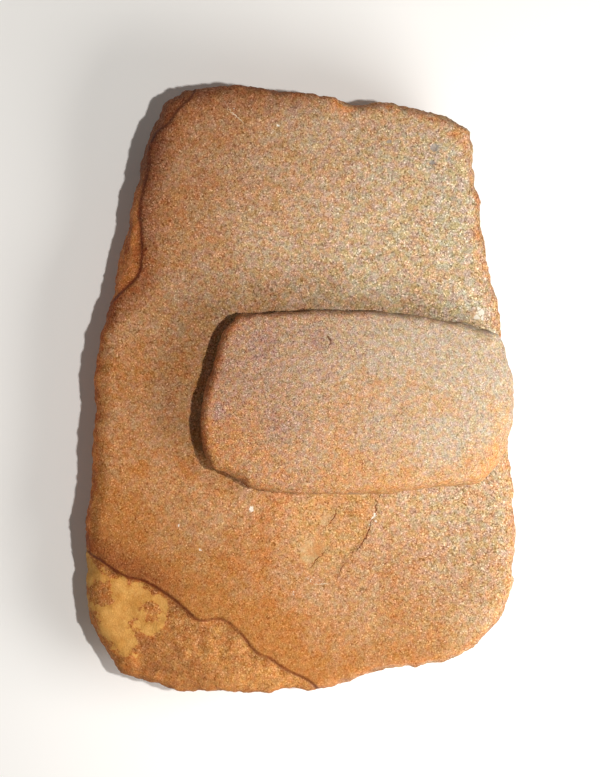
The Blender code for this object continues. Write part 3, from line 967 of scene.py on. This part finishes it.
for name, value_at in (("rim", hand_rim_and_shade), ("pit", hand_pit_gap), ("stain", hand_stain)):
    paint(handstone.data, name, value_at)

# The handstone's skin is pinkish grey, paler to the right as painted light, and more orange towards the
# near side, with redder far and left edges that also carry painted shade, mauve stains and a line of
# painted shade in the pit.
HAND_BROAD_PATCHES = (24.0, 4.0)
HAND_FINE_PATCHES = (110.0, 4.0, 0.6)
ORANGENESS_ALONG = -12.0
BROAD_ORANGENESS = (-0.35, 0.5)
FINE_ORANGENESS = (-0.2, 0.2)
SHADED_LEFT_COLOURS = ((0.380, 0.196, 0.112), (0.472, 0.208, 0.074))
LIT_RIGHT_COLOURS = ((0.455, 0.347, 0.250), (0.506, 0.268, 0.116))
HAND_RIGHTNESS_RANGE = (-0.11, 0.13)
MAUVE_WANDER = (-0.006, 0.006)
MAUVE_RANGE = (-0.005, 0.005, 0.0, 0.7)
MAUVE = (0.360, 0.200, 0.150)
HAND_RIM_SHADE_BREAKUP = (0.3, 0.6, 0.5, 1.0)
HAND_RIM_SHADE_COLOUR = (0.405, 0.135, 0.040)
HAND_GRAIN_SIZE = 0.00080
HAND_GRAIN_STRENGTH = (-0.05, 0.08, 0.98, 0.84)
PIT_WANDER = (-0.0009, 0.0009)
PIT_LINE_RANGE = (0.0002, 0.0009)
PIT_SHADE_TINT = (0.38, 0.22, 0.14)
HAND_ROUGHNESS = 0.75
HAND_SPECULAR = 0.3
HAND_BUMP = {"Strength": 0.5, "Distance": 0.0003}

hand_skin = bpy.data.materials.new("fine_sandstone")
hand_skin.use_nodes = True
tree = hand_skin.node_tree
where = shader_node(tree, "ShaderNodeTexCoord").outputs["Object"]
across, along, _ = shader_node(tree, "ShaderNodeSeparateXYZ", {0: where}).outputs
broad = noise_at(tree, where, *HAND_BROAD_PATCHES)
fine = noise_at(tree, where, *HAND_FINE_PATCHES)
orangeness = plus(
    tree,
    times(tree, along, ORANGENESS_ALONG),
    ramp(tree, broad, *NOISE_RANGE, *BROAD_ORANGENESS),
    ramp(tree, fine, *NOISE_RANGE, *FINE_ORANGENESS),
)
shaded_left_colour = mixed(tree, orangeness, *SHADED_LEFT_COLOURS)
lit_right_colour = mixed(tree, orangeness, *LIT_RIGHT_COLOURS)
# Painted light: the right end is paler than the left.
colour = mixed(tree, ramp(tree, across, *HAND_RIGHTNESS_RANGE), shaded_left_colour, lit_right_colour)
stained = plus(tree, painted(tree, "stain"), ramp(tree, fine, *NOISE_RANGE, *MAUVE_WANDER))
colour = mixed(tree, ramp(tree, stained, *MAUVE_RANGE), colour, MAUVE)
# Redder stone with painted shade on the far and left edges.
rim = times(tree, painted(tree, "rim"), ramp(tree, fine, *HAND_RIM_SHADE_BREAKUP))
colour = mixed(tree, rim, colour, HAND_RIM_SHADE_COLOUR)
grain = shader_node(tree, "ShaderNodeGroup", node_tree=grains)
grain.inputs["Grain Size"].default_value = HAND_GRAIN_SIZE
tree.links.new(ramp(tree, across, *HAND_GRAIN_STRENGTH), grain.inputs["Strength"])
tree.links.new(colour, grain.inputs["Colour"])
# Painted shade: a dark line in the pit.
to_pit = plus(tree, painted(tree, "pit"), ramp(tree, fine, *NOISE_RANGE, *PIT_WANDER))
pit_shade = near_line(tree, to_pit, *PIT_LINE_RANGE)
colour = multiplied(tree, pit_shade, grain.outputs["Colour"], PIT_SHADE_TINT)
bump = shader_node(tree, "ShaderNodeBump", {"Height": grain.outputs["Height"], **HAND_BUMP})
skin = tree.nodes["Principled BSDF"]
skin.inputs["Roughness"].default_value = HAND_ROUGHNESS
skin.inputs["Specular IOR Level"].default_value = HAND_SPECULAR
tree.links.new(colour, skin.inputs["Base Color"])
tree.links.new(bump.outputs["Normal"], skin.inputs["Normal"])
handstone.data.materials.append(hand_skin)
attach(handstone, "root")
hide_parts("handstone")

# The studio: a plain pale floor, a small key light close to the camera on its right, a broad soft
# light lower on the right, and the camera straight above the stones.
FLOOR_SIDE = 12.0
FLOOR_COLOUR = (0.9, 0.9, 0.9, 1)
FLOOR_ROUGHNESS = 0.9
CAMERA_HEIGHT = 2.2
LENS = 134.0
CAMERA_Y = 0.0011
KEY_PLACE = (0.42, -0.045, 2.1)
KEY_SIZE = 0.05
KEY_POWER = 25.8
KEY_COLOUR = (1.0, 0.97, 0.92)
SIDE_PLACE = (0.48, -0.26, 0.46)
SIDE_SIZE = 0.5
SIDE_POWER = 5.5
SIDE_COLOUR = (1.0, 0.97, 0.93)
SKY_STRENGTH = 0.18
SKY_COLOUR = (1.0, 0.95, 0.88, 1)

bm = bmesh.new()
bmesh.ops.create_grid(bm, x_segments=1, y_segments=1, size=FLOOR_SIDE / 2)
floor = bpy.data.objects.new("floor", bpy.data.meshes.new("floor"))
bm.to_mesh(floor.data)
bm.free()
bpy.context.scene.collection.objects.link(floor)
floor_paint = bpy.data.materials.new("pale_floor")
floor_paint.use_nodes = True
floor_skin = floor_paint.node_tree.nodes["Principled BSDF"]
floor_skin.inputs["Base Color"].default_value = FLOOR_COLOUR
floor_skin.inputs["Roughness"].default_value = FLOOR_ROUGHNESS
floor.data.materials.append(floor_paint)


def lamp(name, place, size, power, colour):
    """A square lamp that points at the middle of the stones."""
    light = bpy.data.lights.new(name, "AREA")
    light.size = size
    light.energy = power
    light.color = colour
    carrier = bpy.data.objects.new(name, light)
    carrier.location = place
    carrier.rotation_euler = (-Vector(place)).to_track_quat("-Z", "Y").to_euler()
    bpy.context.scene.collection.objects.link(carrier)


lamp("key_lamp", KEY_PLACE, KEY_SIZE, KEY_POWER, KEY_COLOUR)
lamp("side_lamp", SIDE_PLACE, SIDE_SIZE, SIDE_POWER, SIDE_COLOUR)
sky = bpy.data.worlds.new("studio")
sky.use_nodes = True
sky_light = sky.node_tree.nodes["Background"]
sky_light.inputs["Color"].default_value = SKY_COLOUR
sky_light.inputs["Strength"].default_value = SKY_STRENGTH
bpy.context.scene.world = sky
bpy.context.scene.view_settings.view_transform = "Standard"

camera_data = bpy.data.cameras.new("camera")
camera_data.lens = LENS
camera = bpy.data.objects.new("camera", camera_data)
camera.location = (0, CAMERA_Y, CAMERA_HEIGHT)
bpy.context.scene.collection.objects.link(camera)
bpy.context.scene.camera = camera
